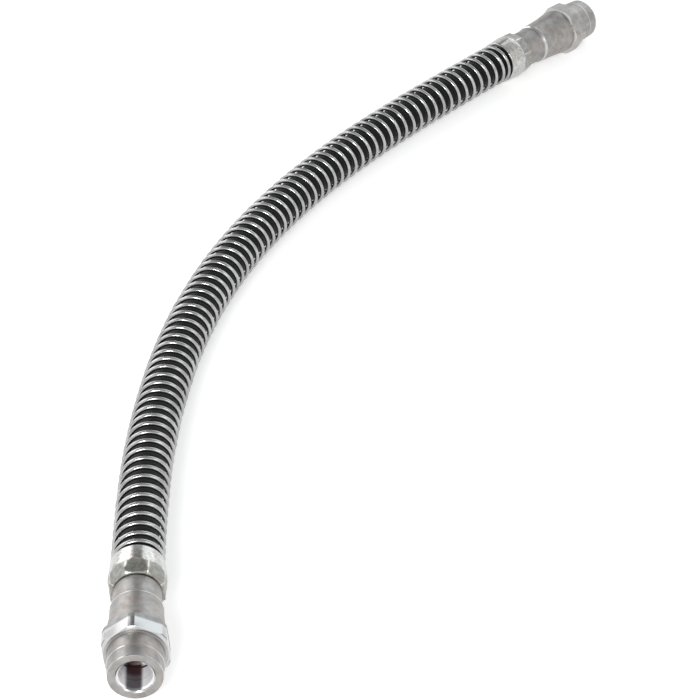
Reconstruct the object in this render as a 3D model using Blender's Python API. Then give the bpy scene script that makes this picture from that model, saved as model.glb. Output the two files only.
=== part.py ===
"""Brake hose with a steel spring guard and a female fitting crimped on each end.

The hose lies on the plane z = 0 in an open bow, with the chord between its two ends along X.
Metres, +Z up. Every length below is a real size.
"""
from math import acos, cos, pi, radians, sin, tan

import bmesh
import bpy
from mathutils import Matrix, Vector

# Hose: three bonded layers round an open bore
HOSE_BORE = 0.0032
LINER_WALL = 0.0012
BRAID_WALL = 0.0006
COVER_WALL = 0.0014
TOUCH_GAP = 0.0003
HOSE_RADIUS = HOSE_BORE / 2 + LINER_WALL + BRAID_WALL + COVER_WALL + 2 * TOUCH_GAP

# Spring guard: one round wire wound along the free length of the hose
WIRE_DIAMETER = 0.0014
SPRING_CLEARANCE = 0.0007
SPRING_PITCH = 0.00443
END_PITCH = 0.0028
END_TURNS = 0.75
TURN_BLEND = 0.5
SPRING_RADIUS = HOSE_RADIUS + SPRING_CLEARANCE + WIRE_DIAMETER / 2
SPRING_OUTER_RADIUS = SPRING_RADIUS + WIRE_DIAMETER / 2

# End fitting: nose with the port, hexagon, flared shoulder and neck
SPANNER_SIZE = 0.017
HEX_CORNER_LOSS = 0.00093
HEX_TURNED_DIAMETER = SPANNER_SIZE / cos(pi / 6) - HEX_CORNER_LOSS
HEX_LENGTH = 0.0063
HEX_CHAMFER_DROP = 0.00095
HEX_CHAMFER_ANGLE = radians(30)
NEAR_HEX_TURN = radians(5)
FAR_HEX_TURN = radians(30)
NOSE_DIAMETER = 0.0152
NOSE_LENGTH = 0.0089
NOSE_LEAD_LENGTH = 0.0040
NOSE_FACE_DIAMETER = 0.0146
SHOULDER_LARGE_DIAMETER = 0.0164
SHOULDER_SMALL_DIAMETER = 0.0145
SHOULDER_LAND = 0.0018
NEAR_FLARE_LENGTH = 0.0089
FAR_FLARE_LENGTH = 0.0129
SHOULDER_RIM = 0.0008
SHOULDER_STEP = 0.0008
NECK_DIAMETER = 0.0132
NEAR_NECK_LENGTH = 0.0064
FAR_NECK_LENGTH = 0.0081

# Port: female thread for a 10 mm pipe nut, with a conical seat and a fluid passage
PORT_MOUTH_DIAMETER = 0.0107
PORT_DIAMETER = 0.0089
PORT_DEPTH = 0.0100
PORT_CHAMFER = 0.0009
SEAT_DEPTH = 0.0022
PASSAGE_DIAMETER = 0.0016

# Hose end of the fitting: a spigot in the ferrule's front wall, a collar behind it and a nipple
SPIGOT_DIAMETER = 0.0082
COLLAR_DIAMETER = 0.0102
COLLAR_LENGTH = 0.0012
NIPPLE_LENGTH = 0.0095
NIPPLE_TIP_CHAMFER = 0.0003

# Ferrule: a cup over the end of the hose, crimped to slanting flats behind its front edge
FERRULE_LENGTH = 0.0115
FERRULE_MOUTH_DIAMETER = 0.0153
FERRULE_BULGE_DIAMETER = 0.0161
FERRULE_BULGE_LENGTH = 0.0014
FERRULE_FRONT_DIAMETER = 0.0138
FERRULE_FRONT_WALL = 0.0016
FERRULE_FRONT_EDGE = 0.0007
FERRULE_MOUTH_CHAMFER = 0.0003
CRIMP_FLATS = 8
CRIMP_FRONT_SIZE = 0.0146
CRIMP_REAR_SIZE = 0.0157
CRIMP_LENGTH = 0.0047
CRIMP_RAMP = 0.0004

# Route of the hose's middle line over its free length, from the near ferrule to the far one.
# The points are (x, y); the heights follow from what the fittings and the spring rest on.
# The span is the straight distance between the mouths of the two ferrules.
SPAN_LENGTH = 0.3254
ROUTE = [
    (-0.1656, -0.0110), (-0.1442, -0.0023), (-0.1250, 0.0050), (-0.1063, 0.0113), (-0.0867, 0.0170),
    (-0.0650, 0.0222), (-0.0446, 0.0257), (-0.0239, 0.0278), (-0.0015, 0.0285), (0.0191, 0.0276),
    (0.0393, 0.0254), (0.0606, 0.0217), (0.0797, 0.0172), (0.0984, 0.0117), (0.1182, 0.0051),
    (0.1369, -0.0016), (0.1598, -0.0100),
]
NEAR_HEADING = radians(23.6)
FAR_HEADING = radians(-21.4)
SETTLE_RUN = 0.110

# Facets
ROUTE_STEPS_PER_SPAN = 24
TURN_STEPS = 12
WIRE_SIDES = 5
COVER_SIDES = 12
INNER_SIDES = 8
HOSE_STEP_DIAMETERS = 2.0
LATHE_STEPS = 24
FERRULE_FIRST_STEP = 0.5
FLARE_STEPS = 3


def remove_everything():
    """Empty the scene before modelling."""
    for old in list(bpy.data.objects):
        bpy.data.objects.remove(old, do_unlink=True)


def make_material(name, colour, roughness, metallic):
    """One Principled material."""
    material = bpy.data.materials.new(name)
    material.use_nodes = True
    shader = material.node_tree.nodes["Principled BSDF"]
    shader.inputs["Base Color"].default_value = (*colour, 1.0)
    shader.inputs["Roughness"].default_value = roughness
    shader.inputs["Metallic"].default_value = metallic
    return material


def add_object(name, mesh, material):
    """Link a mesh as a named, smooth-shaded object with one material."""
    mesh.shade_smooth()
    mesh.set_sharp_from_angle(angle=radians(35))
    mesh.materials.append(material)
    part = bpy.data.objects.new(name, mesh)
    bpy.context.scene.collection.objects.link(part)
    return part


def smoothstep(value):
    """0 below 0, 1 above 1, and a soft S between."""
    value = min(max(value, 0.0), 1.0)
    return value * value * (3 - 2 * value)


# Route of the hose

def route_tangents(points):
    """Tangents of a smooth curve through the points, with the fittings' headings at its ends."""
    tangents = [Vector((cos(NEAR_HEADING), sin(NEAR_HEADING)))]
    for before, here, after in zip(points, points[1:], points[2:]):
        span_in = (here - before).length
        span_out = (after - here).length
        slope_in = (here - before) / span_in
        slope_out = (after - here) / span_out
        tangents.append((slope_in * span_out + slope_out * span_in) / (span_in + span_out))
    tangents.append(Vector((cos(FAR_HEADING), sin(FAR_HEADING))))
    return tangents


def plan_curve():
    """Closely spaced points of the route seen from above."""
    points = [Vector(point) for point in ROUTE]
    scale = SPAN_LENGTH / (points[-1] - points[0]).length
    points = [point * scale for point in points]
    tangents = route_tangents(points)
    curve = []
    for index in range(len(points) - 1):
        start, end = points[index], points[index + 1]
        span = (end - start).length
        for step in range(ROUTE_STEPS_PER_SPAN):
            t = step / ROUTE_STEPS_PER_SPAN
            curve.append(
                start * (2 * t**3 - 3 * t**2 + 1)
                + tangents[index] * span * (t**3 - 2 * t**2 + t)
                + end * (3 * t**2 - 2 * t**3)
                + tangents[index + 1] * span * (t**3 - t**2)
            )
    curve.append(points[-1])
    return curve


class Route:
    """The hose's middle line, measured in metres along it from the near ferrule's mouth."""

    def __init__(self, near_height, far_height, middle_height):
        plan = plan_curve()
        along = [0.0]
        for before, here in zip(plan, plan[1:]):
            along.append(along[-1] + (here - before).length)
        total = along[-1]
        self.points = []
        for flat, s in zip(plan, along):
            near_lift = (near_height - middle_height) * (1 - smoothstep(s / SETTLE_RUN))
            far_lift = (far_height - middle_height) * (1 - smoothstep((total - s) / SETTLE_RUN))
            self.points.append(Vector((flat.x, flat.y, middle_height + near_lift + far_lift)))
        self.along = [0.0]
        for before, here in zip(self.points, self.points[1:]):
            self.along.append(self.along[-1] + (here - before).length)
        self.length = self.along[-1]
        self.near_direction = Vector((cos(NEAR_HEADING), sin(NEAR_HEADING), 0.0))
        self.far_direction = Vector((cos(FAR_HEADING), sin(FAR_HEADING), 0.0))

    def point(self, s):
        """Place at s; the line runs on straight into the fittings."""
        if s <= 0:
            return self.points[0] + self.near_direction * s
        if s >= self.length:
            return self.points[-1] + self.far_direction * (s - self.length)
        low, high = 0, len(self.along) - 1
        while high - low > 1:
            middle = (low + high) // 2
            if self.along[middle] <= s:
                low = middle
            else:
                high = middle
        share = (s - self.along[low]) / (self.along[high] - self.along[low])
        return self.points[low].lerp(self.points[high], share)

    def frame(self, s):
        """Place, direction, upward and rightward unit vectors at s."""
        reach = 0.001
        direction = (self.point(s + reach) - self.point(s - reach)).normalized()
        right = direction.cross(Vector((0, 0, 1))).normalized()
        return self.point(s), direction, right.cross(direction), right


# Swept shapes

def ring_on(bm, centre, first, second, radius, sides):
    """One ring of vertices round a centre."""
    ring = []
    for index in range(sides):
        angle = 2 * pi * index / sides
        ring.append(bm.verts.new(centre + (first * cos(angle) + second * sin(angle)) * radius))
    return ring


def bridge(bm, ring_a, ring_b):
    """Quads between two rings."""
    count = len(ring_a)
    for index in range(count):
        after = (index + 1) % count
        bm.faces.new((ring_a[index], ring_a[after], ring_b[after], ring_b[index]))


def finish_mesh(bm, name):
    """Turn a bmesh into a mesh with its faces pointing out."""
    bmesh.ops.recalc_face_normals(bm, faces=bm.faces)
    mesh = bpy.data.meshes.new(name)
    bm.to_mesh(mesh)
    bm.free()
    return mesh


def hose_layer(name, route, outer_radius, inner_radius, sides, near_end, far_end, material):
    """An open tube along the route, from near_end to far_end."""
    steps = max(1, round(route.length / (2 * HOSE_RADIUS * HOSE_STEP_DIAMETERS)))
    stations = [near_end]
    stations += [route.length * index / steps for index in range(steps + 1)]
    stations.append(far_end)
    bm = bmesh.new()
    outer_rings, inner_rings = [], []
    for s in stations:
        centre, _, up, right = route.frame(s)
        outer_rings.append(ring_on(bm, centre, up, right, outer_radius, sides))
        inner_rings.append(ring_on(bm, centre, up, right, inner_radius, sides))
    for rings in (outer_rings, inner_rings):
        for ring_a, ring_b in zip(rings, rings[1:]):
            bridge(bm, ring_a, ring_b)
    bridge(bm, outer_rings[0], inner_rings[0])
    bridge(bm, outer_rings[-1], inner_rings[-1])
    return add_object(name, finish_mesh(bm, name), material)


def end_share(turn, turns):
    """1 in the close end turns of the spring, 0 in its open turns."""
    from_near = (turn - END_TURNS) / TURN_BLEND
    from_far = (turns - END_TURNS - turn) / TURN_BLEND
    return 1 - smoothstep(min(from_near, from_far))


def spring_stations(free_length):
    """Pairs of turn and distance along the route for the wire's middle line."""
    wound_length = free_length - 2 * TOUCH_GAP - WIRE_DIAMETER
    close_turns = 2 * END_TURNS + TURN_BLEND
    turns = round(close_turns + (wound_length - close_turns * END_PITCH) / SPRING_PITCH)
    count = turns * TURN_STEPS
    step = 1 / TURN_STEPS
    shares = [end_share((index + 0.5) * step, turns) for index in range(count)]
    close_part = sum(shares) * step
    open_pitch = (wound_length - close_part * END_PITCH) / (turns - close_part)
    distance = TOUCH_GAP + WIRE_DIAMETER / 2
    stations = [(0.0, distance)]
    for index, share in enumerate(shares):
        distance += step * (share * END_PITCH + (1 - share) * open_pitch)
        stations.append(((index + 1) * step, distance))
    return stations


def spring_guard(route, material):
    """The wire wound right-handed round the hose, its ends cut below the hose."""
    centres, radials = [], []
    for turn, distance in spring_stations(route.length):
        centre, _, up, right = route.frame(distance)
        angle = pi + 2 * pi * turn
        radial = up * cos(angle) + right * sin(angle)
        centres.append(centre + radial * SPRING_RADIUS)
        radials.append(radial)
    bm = bmesh.new()
    rings = []
    last = len(centres) - 1
    for index, (centre, radial) in enumerate(zip(centres, radials)):
        along = centres[min(index + 1, last)] - centres[max(index - 1, 0)]
        across = along.cross(radial).normalized()
        rings.append(ring_on(bm, centre, radial, across, WIRE_DIAMETER / 2, WIRE_SIDES))
    for ring_a, ring_b in zip(rings, rings[1:]):
        bridge(bm, ring_a, ring_b)
    bm.faces.new(rings[0])
    bm.faces.new(rings[-1])
    return add_object("spring_guard", finish_mesh(bm, "spring_guard"), material)


# Turned and milled end pieces, made round their own Z axis with the port facing +Z.
# Their zero is the cut end of the hose, inside the ferrule.

def turned_mesh(name, outline, first_step):
    """Mesh of a turned piece from a closed outline of (radius, z, across_flats); 0 flats is round.

    first_step moves the first corner of its facets round by that share of one step.
    """
    bm = bmesh.new()
    rings = []
    for radius, z, across_flats in outline:
        ring = []
        for index in range(LATHE_STEPS):
            angle = 2 * pi * (index + first_step) / LATHE_STEPS
            reach = min(radius, flat_reach(angle, across_flats)) if across_flats else radius
            ring.append(bm.verts.new((reach * cos(angle), reach * sin(angle), z)))
        rings.append(ring)
    for ring_a, ring_b in zip(rings, rings[1:] + rings[:1]):
        bridge(bm, ring_a, ring_b)
    return finish_mesh(bm, name)


def flat_reach(angle, across_flats):
    """Distance from the axis to the flats of the crimp at an angle; one flat faces up."""
    sector = 2 * pi / CRIMP_FLATS
    off_middle = (angle + sector / 2) % sector - sector / 2
    return across_flats / 2 / cos(off_middle)


def hexagon_stock(name, length, turn, place):
    """A hexagonal bar round the whole fitting, which serves only as the cutter of its flats.

    At turn 0 a corner faces up.
    """
    bm = bmesh.new()
    radius = SPANNER_SIZE / 2 / cos(pi / 6)
    bmesh.ops.create_cone(bm, cap_ends=True, segments=6, radius1=radius, radius2=radius, depth=2 * length)
    bmesh.ops.rotate(bm, verts=bm.verts, cent=(0, 0, 0), matrix=Matrix.Rotation(turn + pi / 2, 3, "Z"))
    mesh = finish_mesh(bm, name)
    mesh.transform(place)
    stock = bpy.data.objects.new(name, mesh)
    bpy.context.scene.collection.objects.link(stock)
    stock.hide_render = True
    stock.display_type = "WIRE"
    return stock


def resting_height(turn):
    """Height of the axis over the plane that a hexagon with this turn lies on.

    The corners are turned off, so each is a short arc that rolls at one height.
    """
    sector = pi / 3
    off_corner = abs((turn + sector / 2) % sector - sector / 2)
    half_arc = pi / 6 - acos(SPANNER_SIZE / HEX_TURNED_DIAMETER)
    return HEX_TURNED_DIAMETER / 2 * cos(max(0.0, off_corner - half_arc))


def mill_to(part, stock):
    """Keep only what lies inside the bar."""
    cut = part.modifiers.new("milled_flats", "BOOLEAN")
    cut.operation = "INTERSECT"
    cut.solver = "EXACT"
    cut.object = stock


def front_wall_start():
    """Where the ferrule's front wall begins, past the collar."""
    return TOUCH_GAP + COLLAR_LENGTH + TOUCH_GAP


def neck_start():
    """Where the neck begins, in front of the ferrule."""
    return front_wall_start() + FERRULE_FRONT_WALL + TOUCH_GAP


def flare_outline(rear, front):
    """Hollow curve of the shoulder, widening from its rear to its front."""
    small = SHOULDER_SMALL_DIAMETER / 2
    large = SHOULDER_LARGE_DIAMETER / 2
    outline = []
    for step in range(FLARE_STEPS + 1):
        share = step / FLARE_STEPS
        outline.append((small + (large - small) * share**2, rear + (front - rear) * share))
    return outline


def fitting_profile(neck_length, flare_length):
    """Outline of the end fitting from the nipple's tip round the outside and back through the port."""
    neck = neck_start()
    shoulder = neck + neck_length
    flare_start = shoulder + SHOULDER_STEP + SHOULDER_RIM
    flare_end = flare_start + flare_length
    hex_start = flare_end + SHOULDER_LAND
    hex_end = hex_start + HEX_LENGTH
    face = hex_end + NOSE_LENGTH
    corner = HEX_TURNED_DIAMETER / 2
    chamfer_floor = corner - HEX_CHAMFER_DROP
    chamfer = HEX_CHAMFER_DROP * tan(HEX_CHAMFER_ANGLE)
    nipple_radius = HOSE_BORE / 2 - TOUCH_GAP
    collar_start = TOUCH_GAP
    collar_end = TOUCH_GAP + COLLAR_LENGTH
    seat = face - PORT_DEPTH
    return [
        (nipple_radius - NIPPLE_TIP_CHAMFER, -NIPPLE_LENGTH),
        (nipple_radius, NIPPLE_TIP_CHAMFER - NIPPLE_LENGTH),
        (nipple_radius, collar_start),
        (COLLAR_DIAMETER / 2, collar_start),
        (COLLAR_DIAMETER / 2, collar_end),
        (SPIGOT_DIAMETER / 2, collar_end),
        (SPIGOT_DIAMETER / 2, neck),
        (NECK_DIAMETER / 2, neck),
        (NECK_DIAMETER / 2, shoulder),
        (SHOULDER_SMALL_DIAMETER / 2, shoulder + SHOULDER_STEP),
        *flare_outline(flare_start, flare_end),
        (SHOULDER_LARGE_DIAMETER / 2, hex_start),
        (chamfer_floor, hex_start),
        (corner, hex_start + chamfer),
        (corner, hex_end - chamfer),
        (chamfer_floor, hex_end),
        (NOSE_DIAMETER / 2, hex_end),
        (NOSE_DIAMETER / 2, face - NOSE_LEAD_LENGTH),
        (NOSE_FACE_DIAMETER / 2, face),
        (PORT_MOUTH_DIAMETER / 2, face),
        (PORT_DIAMETER / 2, face - PORT_CHAMFER),
        (PORT_DIAMETER / 2, seat),
        (PASSAGE_DIAMETER / 2, seat - SEAT_DEPTH),
        (PASSAGE_DIAMETER / 2, -NIPPLE_LENGTH),
    ]


def ferrule_outline():
    """Outline of the crimped cup, from its mouth forward and back along its bore."""
    wall_start = front_wall_start()
    front = wall_start + FERRULE_FRONT_WALL
    mouth = front - FERRULE_LENGTH
    bore = HOSE_RADIUS + TOUCH_GAP
    mouth_radius = FERRULE_MOUTH_DIAMETER / 2
    bulge = FERRULE_BULGE_DIAMETER / 2
    crimp_start = front - CRIMP_LENGTH
    hole = SPIGOT_DIAMETER / 2 + TOUCH_GAP
    return [
        (bore, mouth, 0),
        (mouth_radius - FERRULE_MOUTH_CHAMFER, mouth, 0),
        (mouth_radius, mouth + FERRULE_MOUTH_CHAMFER, 0),
        (bulge, crimp_start - FERRULE_BULGE_LENGTH, 0),
        (bulge, crimp_start - CRIMP_RAMP, 0),
        (bulge, crimp_start, CRIMP_REAR_SIZE),
        (bulge, front - FERRULE_FRONT_EDGE, CRIMP_FRONT_SIZE),
        (FERRULE_FRONT_DIAMETER / 2, front, 0),
        (hole, front, 0),
        (hole, wall_start, 0),
        (bore, wall_start, 0),
    ]


def end_place(point, outward):
    """Matrix that sets a turned piece at a point with its port facing outward and its X axis up."""
    up = Vector((0, 0, 1))
    side = outward.cross(up)
    place = Matrix((up, side, outward)).transposed().to_4x4()
    place.translation = point
    return place


def end_pieces(name, place, neck_length, flare_length, hex_turn, steel):
    """Fitting and ferrule of one end."""
    outline = [(radius, z, 0) for radius, z in fitting_profile(neck_length, flare_length)]
    mesh = turned_mesh(name + "_fitting", outline, hex_turn * LATHE_STEPS / (2 * pi))
    mesh.transform(place)
    fitting = add_object(name + "_fitting", mesh, steel)
    reach = max(z for _, z, _ in outline) + NIPPLE_LENGTH
    mill_to(fitting, hexagon_stock(name + "_hexagon_stock", reach, hex_turn, place))
    mesh = turned_mesh(name + "_ferrule", ferrule_outline(), FERRULE_FIRST_STEP)
    mesh.transform(place)
    add_object(name + "_ferrule", mesh, steel)


def centre_on_origin():
    """Shift everything along X and Y until the whole hose is centred on the origin."""
    objects = list(bpy.context.scene.objects)
    corners = [vert.co for part in objects if not part.hide_render for vert in part.data.vertices]
    middle_x = (min(co.x for co in corners) + max(co.x for co in corners)) / 2
    middle_y = (min(co.y for co in corners) + max(co.y for co in corners)) / 2
    for part in objects:
        part.data.transform(Matrix.Translation((-middle_x, -middle_y, 0.0)))


def build():
    """Model the whole brake hose."""
    remove_everything()
    rubber = make_material("black_rubber", (0.02, 0.02, 0.022), 0.6, 0.0)
    textile = make_material("reinforcing_textile", (0.75, 0.72, 0.62), 0.9, 0.0)
    wire_steel = make_material("bright_wire", (0.72, 0.72, 0.71), 0.28, 1.0)
    zinc = make_material("zinc_plated_steel", (0.62, 0.62, 0.60), 0.38, 1.0)

    # Each hexagon rests on its lowest corner or flat, and the spring on its outer side
    near_height = resting_height(NEAR_HEX_TURN)
    far_height = resting_height(FAR_HEX_TURN)
    route = Route(near_height, far_height, SPRING_OUTER_RADIUS)

    # The hose runs on inside each ferrule up to its cut end, level with the fitting's zero
    ferrule_zero = front_wall_start() + FERRULE_FRONT_WALL
    hose_near_end = ferrule_zero - FERRULE_LENGTH
    hose_far_end = route.length + FERRULE_LENGTH - ferrule_zero

    liner_outer = HOSE_BORE / 2 + LINER_WALL
    braid_inner = liner_outer + TOUCH_GAP
    braid_outer = braid_inner + BRAID_WALL
    cover_inner = HOSE_RADIUS - COVER_WALL
    ends = (hose_near_end, hose_far_end)
    hose_layer("hose_liner", route, liner_outer, HOSE_BORE / 2, INNER_SIDES, *ends, rubber)
    hose_layer("hose_braid", route, braid_outer, braid_inner, INNER_SIDES, *ends, textile)
    hose_layer("hose_cover", route, HOSE_RADIUS, cover_inner, COVER_SIDES, *ends, rubber)
    spring_guard(route, wire_steel)

    near_place = end_place(route.point(hose_near_end), -route.near_direction)
    far_place = end_place(route.point(hose_far_end), route.far_direction)
    end_pieces("near", near_place, NEAR_NECK_LENGTH, NEAR_FLARE_LENGTH, NEAR_HEX_TURN, zinc)
    end_pieces("far", far_place, FAR_NECK_LENGTH, FAR_FLARE_LENGTH, FAR_HEX_TURN, zinc)
    centre_on_origin()


build()
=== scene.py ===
# %% [markdown]
# A brake hose in a steel spring guard
#
# The object is a rubber hose about as thick as a finger, with a bright wire wound round it from end to
# end and a plated steel fitting crimped on each end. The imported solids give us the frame: every piece
# below is made in the same metres and the same axes, and stands in for a plain solid of that frame.

# %% Load the frame
from math import atan2, cos, pi, radians, sin, tan

import bmesh
import bpy
import numpy as np
from mathutils import Euler, Matrix, Vector


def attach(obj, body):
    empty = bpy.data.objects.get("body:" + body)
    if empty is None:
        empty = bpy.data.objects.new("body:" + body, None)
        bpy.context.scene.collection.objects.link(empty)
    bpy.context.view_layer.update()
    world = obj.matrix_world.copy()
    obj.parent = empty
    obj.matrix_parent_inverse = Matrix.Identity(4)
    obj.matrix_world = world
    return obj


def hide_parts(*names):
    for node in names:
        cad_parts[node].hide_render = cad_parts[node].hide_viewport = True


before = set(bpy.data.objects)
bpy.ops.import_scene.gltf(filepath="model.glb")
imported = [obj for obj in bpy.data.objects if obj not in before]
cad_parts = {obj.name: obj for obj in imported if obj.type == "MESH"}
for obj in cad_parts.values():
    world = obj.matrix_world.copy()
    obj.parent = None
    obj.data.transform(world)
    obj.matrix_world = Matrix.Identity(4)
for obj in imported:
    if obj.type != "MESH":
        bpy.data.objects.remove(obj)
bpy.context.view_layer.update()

# %% [markdown]
# The camera comes first, because everything else is judged through it. The picture was taken from above
# the near end, looking down along the hose with a long lens. A long lens is why the far end is only a
# little smaller than the near one. The heading is measured from +X towards +Y.

# %% Set the camera
CAMERA_PLACE = (-0.64554, -0.2502, 0.42535)
CAMERA_HEADING = radians(20.36)
CAMERA_PITCH = radians(33.0)
CAMERA_LENS = 128.3
CAMERA_SENSOR = 36.0

camera_data = bpy.data.cameras.new("camera")
camera_data.lens = CAMERA_LENS
camera_data.sensor_width = CAMERA_SENSOR
camera = bpy.data.objects.new("camera", camera_data)
camera.location = CAMERA_PLACE
camera.rotation_euler = Euler((pi / 2 - CAMERA_PITCH, 0.0, CAMERA_HEADING - pi / 2))
bpy.context.scene.collection.objects.link(camera)
bpy.context.scene.camera = camera
bpy.context.scene.view_settings.view_transform = "Standard"
print("camera at", CAMERA_PLACE, "lens", CAMERA_LENS, "mm")

# %% [markdown]
# Everything follows one line: the middle of the hose. A single arc would be quick, but a real hose
# straightens towards its stiff ends. So the route is a short list of points seen from above, with a
# smooth curve through them, and the two fittings hold the ends at a fixed heading.

# %% Draw the route seen from above
SPAN_LENGTH = 0.3254
ROUTE = [
    (-0.1656, -0.0110), (-0.1442, -0.0023), (-0.1250, 0.0050), (-0.1063, 0.0113), (-0.0867, 0.0170),
    (-0.0650, 0.0222), (-0.0446, 0.0257), (-0.0239, 0.0278), (-0.0015, 0.0285), (0.0191, 0.0276),
    (0.0393, 0.0254), (0.0606, 0.0217), (0.0797, 0.0172), (0.0984, 0.0117), (0.1182, 0.0051),
    (0.1369, -0.0016), (0.1598, -0.0100),
]
NEAR_HEADING = radians(23.6)
FAR_HEADING = radians(-21.4)
STEPS_PER_SPAN = 48


def plan_curve():
    """The route seen from above, as closely spaced points."""
    points = np.array(ROUTE)
    points = points * SPAN_LENGTH / np.linalg.norm(points[-1] - points[0])
    tangents = [np.array((cos(NEAR_HEADING), sin(NEAR_HEADING)))]
    for before, here, after in zip(points, points[1:], points[2:]):
        span_in = np.linalg.norm(here - before)
        span_out = np.linalg.norm(after - here)
        slope_in = (here - before) / span_in
        slope_out = (after - here) / span_out
        tangents.append((slope_in * span_out + slope_out * span_in) / (span_in + span_out))
    tangents.append(np.array((cos(FAR_HEADING), sin(FAR_HEADING))))
    curve = []
    for start, end, leave, arrive in zip(points, points[1:], tangents, tangents[1:]):
        span = np.linalg.norm(end - start)
        for step in range(STEPS_PER_SPAN):
            t = step / STEPS_PER_SPAN
            curve.append(
                start * (2 * t**3 - 3 * t**2 + 1) + leave * span * (t**3 - 2 * t**2 + t)
                + end * (3 * t**2 - 2 * t**3) + arrive * span * (t**3 - t**2)
            )
    curve.append(points[-1])
    return np.array(curve)


plan = plan_curve()
print("points of the route:", len(plan))

# %% [markdown]
# The height of the hose is a rule and not a list. The wire rests on the table in the middle, and each
# end rises softly to where its hexagon holds it. The near hexagon stands on a corner, whose tip the
# lathe has taken off, and the far one lies on a flat, so the two ends rest at different heights.

# %% Lift the ends
SPRING_OUTER_RADIUS = 0.0075
HEX_FLATS = 0.017
HEX_TURNED_RADIUS = 0.00935
NEAR_HEIGHT = HEX_TURNED_RADIUS
FAR_HEIGHT = HEX_FLATS / 2
SETTLE_RUN = 0.110


def smoothstep(value):
    """0 below 0, 1 above 1, and a soft S between."""
    value = np.clip(value, 0.0, 1.0)
    return value * value * (3 - 2 * value)


def run_along(points):
    """Distance along a line of points."""
    return np.concatenate([[0.0], np.cumsum(np.linalg.norm(np.diff(points, axis=0), axis=1))])


plan_run = run_along(plan)
lift_near = (NEAR_HEIGHT - SPRING_OUTER_RADIUS) * (1 - smoothstep(plan_run / SETTLE_RUN))
lift_far = (FAR_HEIGHT - SPRING_OUTER_RADIUS) * (1 - smoothstep((plan_run[-1] - plan_run) / SETTLE_RUN))
line = np.column_stack([plan, SPRING_OUTER_RADIUS + lift_near + lift_far])
line_run = run_along(line)
FREE_LENGTH = float(line_run[-1])
print("free length of the hose: %.1f mm" % (FREE_LENGTH * 1000))

# %% [markdown]
# Anything wound or swept along the hose needs to know, at each distance, where the middle line is,
# which way it goes, and which way is up. Up is kept as close to the world's up as the direction
# allows, so that nothing twists along the way.

# %% Find a place on the line
PROBE = 0.001

near_way = np.array((cos(NEAR_HEADING), sin(NEAR_HEADING), 0.0))
far_way = np.array((cos(FAR_HEADING), sin(FAR_HEADING), 0.0))


def on_line(run):
    """Place on the middle line; it runs on straight into the fittings."""
    if run <= 0:
        return line[0] + near_way * run
    if run >= FREE_LENGTH:
        return line[-1] + far_way * (run - FREE_LENGTH)
    return np.array([np.interp(run, line_run, line[:, axis]) for axis in range(3)])


def frame_at(run):
    """Place, up and right of the middle line."""
    ahead = on_line(run + PROBE) - on_line(run - PROBE)
    ahead = ahead / np.linalg.norm(ahead)
    right = np.cross(ahead, (0, 0, 1))
    right = right / np.linalg.norm(right)
    return on_line(run), np.cross(right, ahead), right


print("middle of the hose at", [round(float(value), 4) for value in on_line(FREE_LENGTH / 2)])

# %% [markdown]
# A few small tools for meshes. A sweep joins rings of points into a skin. The spring, the hose and the
# turned fittings are all rings of points, so one function serves them all. A curve object with a bevel
# could draw the wire as well, but not the fittings, and one way of working is easier to follow.

# %% Tools for meshes
def skin(name, rings, closed_path=False, capped=False):
    """A smooth object from rings of points with the same count each."""
    maker = bmesh.new()
    rows = [[maker.verts.new(point) for point in ring] for ring in rings]
    pairs = list(zip(rows, rows[1:] + rows[:1])) if closed_path else list(zip(rows, rows[1:]))
    for row_a, row_b in pairs:
        count = len(row_a)
        for index in range(count):
            after = (index + 1) % count
            maker.faces.new((row_a[index], row_a[after], row_b[after], row_b[index]))
    if capped:
        maker.faces.new(rows[0])
        maker.faces.new(rows[-1])
    bmesh.ops.recalc_face_normals(maker, faces=maker.faces)
    piece = object_from(maker, name)
    piece.data.shade_smooth()
    return piece


def object_from(maker, name):
    """Turn a finished bmesh into an object in the scene."""
    mesh = bpy.data.meshes.new(name)
    maker.to_mesh(mesh)
    maker.free()
    piece = bpy.data.objects.new(name, mesh)
    bpy.context.scene.collection.objects.link(piece)
    return piece


def round_ring(centre, first, second, radius, sides):
    """One ring of points round a centre."""
    angles = np.arange(sides) * 2 * pi / sides
    return [centre + (first * cos(angle) + second * sin(angle)) * radius for angle in angles]


def report(piece):
    """Say what a piece measures."""
    triangles = sum(len(face.vertices) - 2 for face in piece.data.polygons)
    size = [round(value * 1000, 1) for value in piece.dimensions]
    print(piece.name, "triangles:", triangles, "size mm:", size)


print("mesh tools ready")

# %% [markdown]
# Shaders are graphs of nodes, and the same few moves come again and again: a bit of arithmetic, a mix
# of two colours, a value moved from one range to another. Each gets a short helper, so that a material
# below reads as a list of what the finish is made of.

# %% Tools for values and colours
WHOLE = (0.0, 1.0)


def grey(level):
    """A neutral colour."""
    return (level, level, level, 1.0)


def math_node(tree, operation, first, second=0.0):
    """A Math node; each operand is a number or a socket."""
    node = tree.nodes.new("ShaderNodeMath")
    node.operation = operation
    for index, value in enumerate((first, second)):
        if isinstance(value, (int, float)):
            node.inputs[index].default_value = value
        else:
            tree.links.new(value, node.inputs[index])
    return node.outputs[0]


def mix_colours(tree, factor, colour_a, colour_b, blend="MIX"):
    """A colour Mix node; factor is a socket, and each colour is a value or a socket."""
    node = tree.nodes.new("ShaderNodeMix")
    node.data_type = "RGBA"
    node.blend_type = blend
    tree.links.new(factor, node.inputs[0])
    for socket, value in ((node.inputs[6], colour_a), (node.inputs[7], colour_b)):
        if hasattr(value, "links"):
            tree.links.new(value, socket)
        else:
            socket.default_value = value
    return node.outputs[2]


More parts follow.
